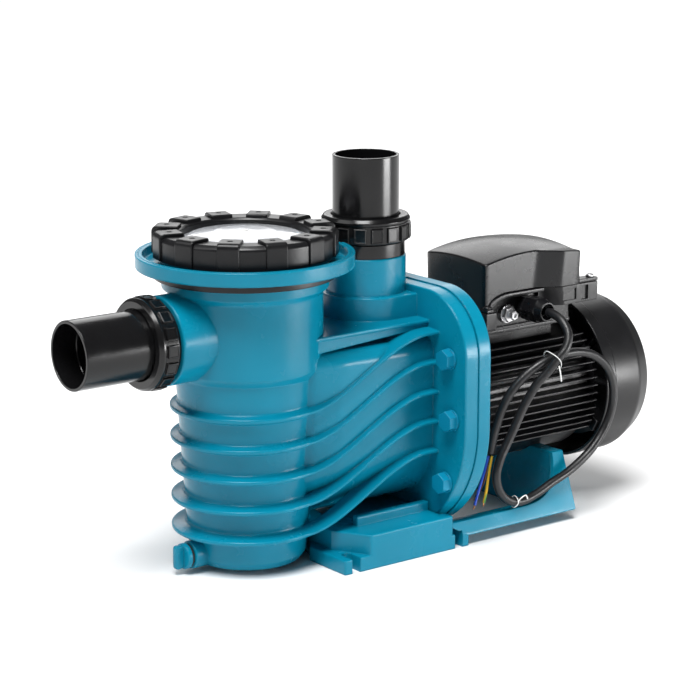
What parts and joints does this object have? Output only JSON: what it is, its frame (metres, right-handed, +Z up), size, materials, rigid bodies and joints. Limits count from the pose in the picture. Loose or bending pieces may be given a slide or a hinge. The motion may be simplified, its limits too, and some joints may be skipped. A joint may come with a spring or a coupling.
{
  "type": "pool pump",
  "caption": "Self-priming pool pump with a strainer pot under a clear screw-locked lid, two pipe unions, and a fan-cooled motor with a terminal box and cable.",
  "frame": {"origin": "on the underside of the base, midway between the front and rear foot slots and between the two sides", "axes": "+X along the motor shaft from the suction port to the fan, +Z up along the discharge port, -Y the side with the cable gland"},
  "size_m": [0.627, 0.236, 0.369],
  "materials": {
    "pump_blue": "moulded reinforced plastic, satin gloss with a fine grain",
    "bolt_blue": "moulded blue caps over the bolts",
    "union_black": "smooth moulded black plastic",
    "ring_black": "finely grained black plastic",
    "clear_lid": "clear moulded plastic",
    "rubber": "smooth black rubber",
    "basket_plastic": "natural moulded plastic",
    "inner_plastic": "moulded black plastic",
    "box_black": "satin black plastic",
    "motor_black": "black paint on aluminium and sheet steel",
    "steel": "bright plated steel",
    "laminated_iron": "stacked electrical steel",
    "winding_copper": "varnished copper wire",
    "white_plastic": "moulded white plastic",
    "cord_black": "smooth black cable sheath",
    "tie_white": "plastic-coated wire",
    "core_blue": "insulated core",
    "core_yellow_green": "insulated core, yellow with a green stripe",
    "core_brown": "insulated core"
  },
  "bodies": {
    "housing": {"pump_housing": "pump_blue", "volute_front": "pump_blue", "discharge_neck": "pump_blue", "strainer_pot": "pump_blue", "pot_collar": "pump_blue", "drain_boss": "pump_blue", "base_rear": "pump_blue", "seal_plate": "pump_blue", "base": "pump_blue", "lid_o_ring": "rubber", "suction_adapter": "union_black", "suction_o_ring": "rubber", "discharge_adapter": "union_black", "discharge_o_ring": "rubber", "diffuser": "inner_plastic", "front_end_bell": "motor_black", "rear_end_bell": "motor_black", "front_bearing": "steel", "rear_bearing": "steel", "stator_core": "laminated_iron", "winding_front": "winding_copper", "winding_rear": "winding_copper", "motor_frame": "motor_black", "fan_cowl": "motor_black", "terminal_box_base": "box_black", "terminal_box_cover": "box_black", "cable_gland": "box_black", "gland_nut": "box_black", "earth_bolt": "steel", "power_cord": "cord_black", "cord_tie_upper": "tie_white", "cord_tie_lower": "tie_white", "core_blue": "core_blue", "core_yellow_green": "core_yellow_green", "core_brown": "core_brown", "flange_bolt_1": "bolt_blue", "flange_bolt_2": "bolt_blue", "flange_bolt_3": "bolt_blue", "flange_bolt_4": "bolt_blue", "flange_bolt_5": "bolt_blue", "flange_bolt_6": "bolt_blue", "cowl_screw_1": "steel", "cover_screw_1": "steel", "cowl_screw_2": "steel", "cover_screw_2": "steel", "cowl_screw_3": "steel", "cover_screw_3": "steel"},
    "strainer_basket": {"strainer_basket": "basket_plastic"},
    "lid": {"lid": "clear_lid"},
    "lock_ring": {"lock_ring": "ring_black"},
    "suction_tailpiece": {"suction_tailpiece": "union_black"},
    "suction_union_nut": {"suction_union_nut": "union_black"},
    "discharge_tailpiece": {"discharge_tailpiece": "union_black"},
    "discharge_union_nut": {"discharge_union_nut": "union_black"},
    "drain_o_ring": {"drain_o_ring": "rubber"},
    "drain_plug": {"drain_plug": "pump_blue"},
    "rotor": {"shaft": "steel", "impeller": "inner_plastic", "rotor_core": "laminated_iron", "cooling_fan": "inner_plastic"}
  },
  "joints": [
    {"name": "basket_lift", "type": "slide", "parent": "housing", "child": "strainer_basket", "axis": [0, 0, 1], "range_m": [0, 0.22]},
    {"name": "lid_lift", "type": "slide", "parent": "strainer_basket", "child": "lid", "axis": [0, 0, 1], "range_m": [0, 0.08]},
    {"name": "lock_ring_turn", "type": "hinge", "parent": "lid", "child": "lock_ring", "pos_m": [-0.116, 0, 0.3], "axis": [0, 0, 1], "range_deg": [0, 90]},
    {"name": "suction_tail_pull", "type": "slide", "parent": "housing", "child": "suction_tailpiece", "axis": [-1, 0, 0], "range_m": [0, 0.06]},
    {"name": "suction_nut_turn", "type": "hinge", "parent": "suction_tailpiece", "child": "suction_union_nut", "pos_m": [-0.224, 0, 0.2226], "axis": [-1, 0, 0], "continuous": true},
    {"name": "discharge_tail_pull", "type": "slide", "parent": "housing", "child": "discharge_tailpiece", "axis": [0, 0, 1], "range_m": [0, 0.06]},
    {"name": "discharge_nut_turn", "type": "hinge", "parent": "discharge_tailpiece", "child": "discharge_union_nut", "pos_m": [0.022, 0, 0.3], "axis": [0, 0, 1], "continuous": true},
    {"name": "drain_travel", "type": "slide", "parent": "housing", "child": "drain_o_ring", "axis": [-1, 0, 0], "range_m": [0, 0.0095]},
    {"name": "drain_turn", "type": "hinge", "parent": "drain_o_ring", "child": "drain_plug", "pos_m": [-0.186, 0, 0.017], "axis": [-1, 0, 0], "range_deg": [0, 1080]},
    {"name": "rotor_spin", "type": "hinge", "parent": "housing", "child": "rotor", "pos_m": [0.164, 0, 0.12], "axis": [1, 0, 0], "continuous": true}
  ],
  "couplings": [
    {"joint": "drain_travel", "follows": "drain_turn", "m_per_rad": 0.0004775}
  ]
}
